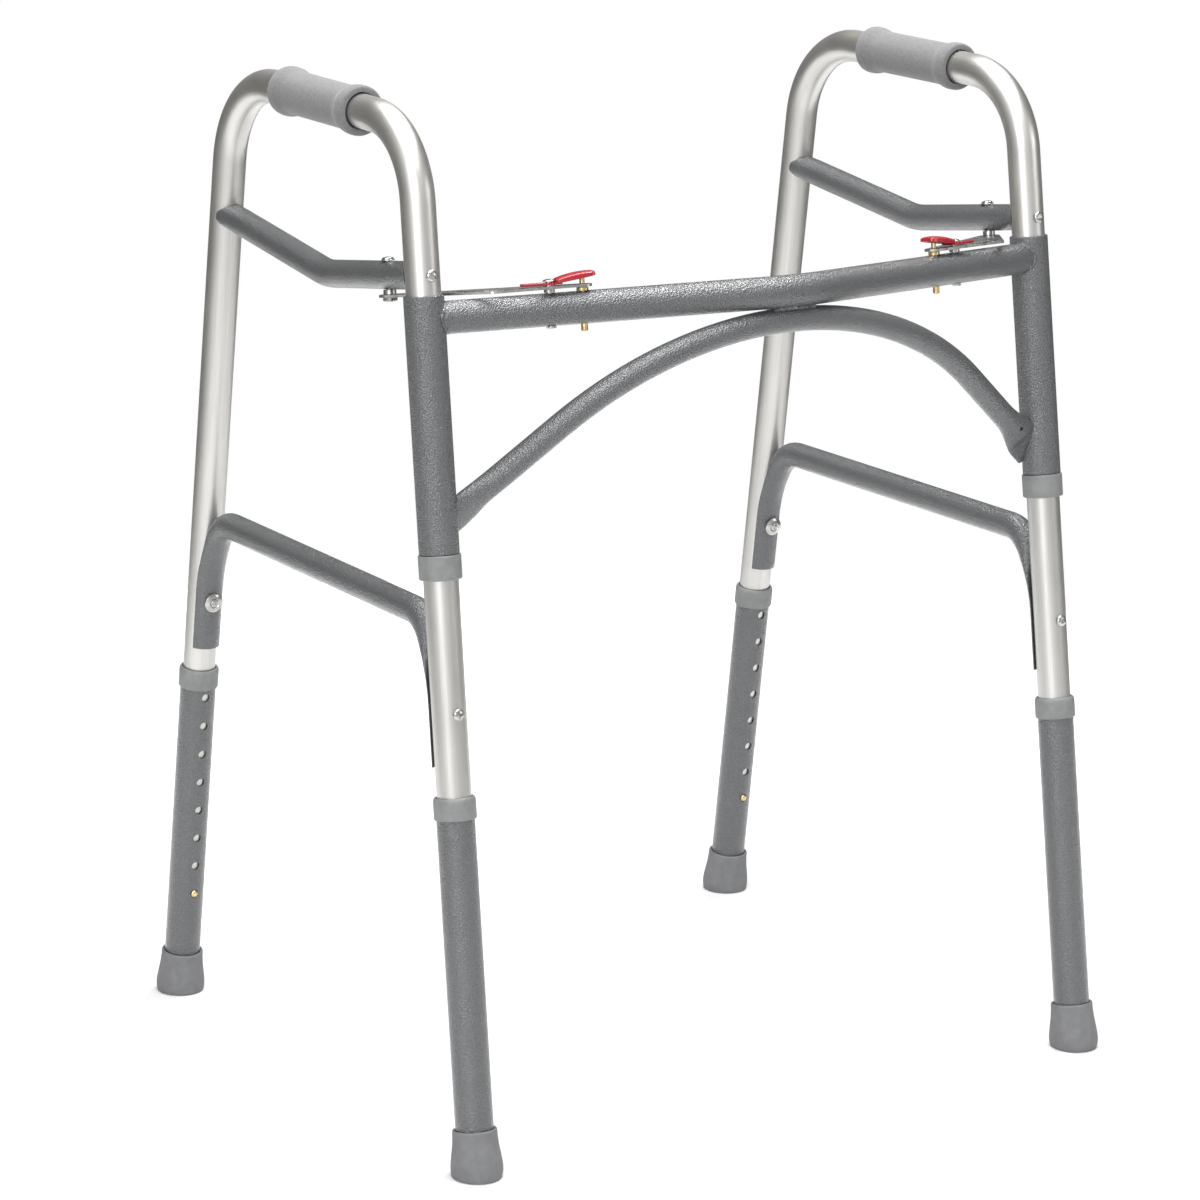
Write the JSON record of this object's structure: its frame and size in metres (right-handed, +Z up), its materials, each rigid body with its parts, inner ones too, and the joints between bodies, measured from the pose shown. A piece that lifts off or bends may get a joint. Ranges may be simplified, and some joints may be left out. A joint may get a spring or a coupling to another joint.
{
  "type": "folding walking frame",
  "caption": "Folding walking frame: two tubular side frames with foam grips, hinged on a front crossbar with an arch brace, release levers and height-adjustable legs with rubber tips.",
  "frame": {"origin": "on the floor, at the middle of the four feet", "axes": "+Z up, +X to the user's right, +Y from the crossbar back towards the user; the front legs and the crossbar are on the -Y side"},
  "size_m": [0.6298, 0.538, 0.8162],
  "materials": {
    "hammertone_paint": "dark grey hammertone powder coat on aluminium tube, semi-gloss",
    "satin_aluminium": "satin clear anodised",
    "foam_rubber": "matte closed-cell foam",
    "collar_plastic": "moulded, matte",
    "tip_rubber": "moulded rubber, matte",
    "zinc_steel": "bright zinc plate",
    "brass": "yellow passivated, turned",
    "red_plastic": "gloss"
  },
  "bodies": {
    "front_frame": {"front_crossbar": "hammertone_paint", "arch_brace": "hammertone_paint", "left_hinge_sleeve": "hammertone_paint", "left_sleeve_collar": "collar_plastic", "left_guide_rivet": "zinc_steel", "left_pin_spring": "zinc_steel", "right_hinge_sleeve": "hammertone_paint", "right_sleeve_collar": "collar_plastic", "right_guide_rivet": "zinc_steel", "right_pin_spring": "zinc_steel"},
    "left_side_frame": {"left_side_tube": "satin_aluminium", "left_grip": "foam_rubber", "left_upper_brace": "hammertone_paint", "left_lower_brace": "hammertone_paint", "left_upper_front_screw": "zinc_steel", "left_upper_rear_screw": "zinc_steel", "left_lower_front_screw": "zinc_steel", "left_lower_rear_screw": "zinc_steel", "left_lower_rear_washer": "zinc_steel", "left_link_bolt": "zinc_steel"},
    "left_link": {"left_link_plate": "zinc_steel"},
    "left_lever": {"left_release_lever": "red_plastic", "left_lever_stud": "brass"},
    "left_pin": {"left_lock_pin": "brass"},
    "left_front_extension": {"left_front_extension_tube": "hammertone_paint", "left_front_extension_collar": "collar_plastic", "left_front_rubber_tip": "tip_rubber"},
    "left_front_button": {"left_front_snap_button": "brass"},
    "left_rear_extension": {"left_rear_extension_tube": "hammertone_paint", "left_rear_extension_collar": "collar_plastic", "left_rear_rubber_tip": "tip_rubber"},
    "left_rear_button": {"left_rear_snap_button": "brass"},
    "right_side_frame": {"right_side_tube": "satin_aluminium", "right_grip": "foam_rubber", "right_upper_brace": "hammertone_paint", "right_lower_brace": "hammertone_paint", "right_upper_front_screw": "zinc_steel", "right_upper_rear_screw": "zinc_steel", "right_lower_front_screw": "zinc_steel", "right_lower_rear_screw": "zinc_steel", "right_lower_rear_washer": "zinc_steel", "right_link_bolt": "zinc_steel"},
    "right_link": {"right_link_plate": "zinc_steel"},
    "right_lever": {"right_release_lever": "red_plastic", "right_lever_stud": "brass"},
    "right_pin": {"right_lock_pin": "brass"},
    "right_front_extension": {"right_front_extension_tube": "hammertone_paint", "right_front_extension_collar": "collar_plastic", "right_front_rubber_tip": "tip_rubber"},
    "right_front_button": {"right_front_snap_button": "brass"},
    "right_rear_extension": {"right_rear_extension_tube": "hammertone_paint", "right_rear_extension_collar": "collar_plastic", "right_rear_rubber_tip": "tip_rubber"},
    "right_rear_button": {"right_rear_snap_button": "brass"}
  },
  "joints": [
    {"name": "left_fold", "type": "hinge", "parent": "front_frame", "child": "left_side_frame", "pos_m": [-0.2945, -0.2485, 0], "axis": [-0.0066, -0.1533, -0.9882], "range_deg": [0, 88]},
    {"name": "left_link_turn", "type": "hinge", "parent": "left_side_frame", "child": "left_link", "pos_m": [-0.289, -0.09425, 0.66155], "axis": [-0.0066, -0.1533, -0.9882], "range_deg": [-107, 0]},
    {"name": "left_lever_press", "type": "hinge", "parent": "front_frame", "child": "left_lever", "pos_m": [-0.19374, -0.1692, 0.67548], "axis": [-0.2534, -0.9557, 0.15], "range_deg": [-7, 0], "stiffness_Nm_per_rad": 0.01, "springref_deg": 1.15},
    {"name": "left_pin_drop", "type": "slide", "parent": "front_frame", "child": "left_pin", "axis": [0.0066, 0.1533, 0.9882], "range_m": [-0.0032, 0], "stiffness_N_per_m": 30, "springref_m": 0.003, "deforming": ["left_pin_spring"]},
    {"name": "left_front_extend", "type": "slide", "parent": "left_side_frame", "child": "left_front_extension", "axis": [-0.0066, -0.1533, -0.9882], "range_m": [0, 0.1778], "deforming": ["left_front_snap_button"]},
    {"name": "left_front_button_press", "type": "slide", "parent": "left_side_frame", "child": "left_front_button", "axis": [-0.0197, -0.988, 0.1534], "range_m": [0, 0.0045], "stiffness_N_per_m": 900, "springref_m": -0.002},
    {"name": "left_rear_extend", "type": "slide", "parent": "left_side_frame", "child": "left_rear_extension", "axis": [-0.0012, 0.1111, -0.9938], "range_m": [0, 0.1778], "deforming": ["left_rear_snap_button"]},
    {"name": "left_rear_button_press", "type": "slide", "parent": "left_side_frame", "child": "left_rear_button", "axis": [0.0208, 0.9936, 0.111], "range_m": [0, 0.0045], "stiffness_N_per_m": 900, "springref_m": -0.002},
    {"name": "right_fold", "type": "hinge", "parent": "front_frame", "child": "right_side_frame", "pos_m": [0.2945, -0.2485, 0], "axis": [-0.0066, 0.1533, 0.9882], "range_deg": [0, 80]},
    {"name": "right_link_turn", "type": "hinge", "parent": "right_side_frame", "child": "right_link", "pos_m": [0.289, -0.09425, 0.66155], "axis": [-0.0066, 0.1533, 0.9882], "range_deg": [-97, 0]},
    {"name": "right_lever_press", "type": "hinge", "parent": "front_frame", "child": "right_lever", "pos_m": [0.19374, -0.1692, 0.67548], "axis": [-0.2534, 0.9557, -0.15], "range_deg": [-7, 0], "stiffness_Nm_per_rad": 0.01, "springref_deg": 1.15},
    {"name": "right_pin_drop", "type": "slide", "parent": "front_frame", "child": "right_pin", "axis": [-0.0066, 0.1533, 0.9882], "range_m": [-0.0032, 0], "stiffness_N_per_m": 30, "springref_m": 0.003, "deforming": ["right_pin_spring"]},
    {"name": "right_front_extend", "type": "slide", "parent": "right_side_frame", "child": "right_front_extension", "axis": [0.0066, -0.1533, -0.9882], "range_m": [0, 0.1778], "deforming": ["right_front_snap_button"]},
    {"name": "right_front_button_press", "type": "slide", "parent": "right_side_frame", "child": "right_front_button", "axis": [0.0197, -0.988, 0.1534], "range_m": [0, 0.0045], "stiffness_N_per_m": 900, "springref_m": -0.002},
    {"name": "right_rear_extend", "type": "slide", "parent": "right_side_frame", "child": "right_rear_extension", "axis": [0.0012, 0.1111, -0.9938], "range_m": [0, 0.1778], "deforming": ["right_rear_snap_button"]},
    {"name": "right_rear_button_press", "type": "slide", "parent": "right_side_frame", "child": "right_rear_button", "axis": [-0.0208, 0.9936, 0.111], "range_m": [0, 0.0045], "stiffness_N_per_m": 900, "springref_m": -0.002}
  ],
  "couplings": [
    {"joint": "left_link_turn", "follows": "left_fold", "ratio": -1.2},
    {"joint": "left_lever_press", "follows": "left_pin_drop", "rad_per_m": 37.736},
    {"joint": "right_link_turn", "follows": "right_fold", "ratio": -1.2},
    {"joint": "right_lever_press", "follows": "right_pin_drop", "rad_per_m": 37.736}
  ]
}
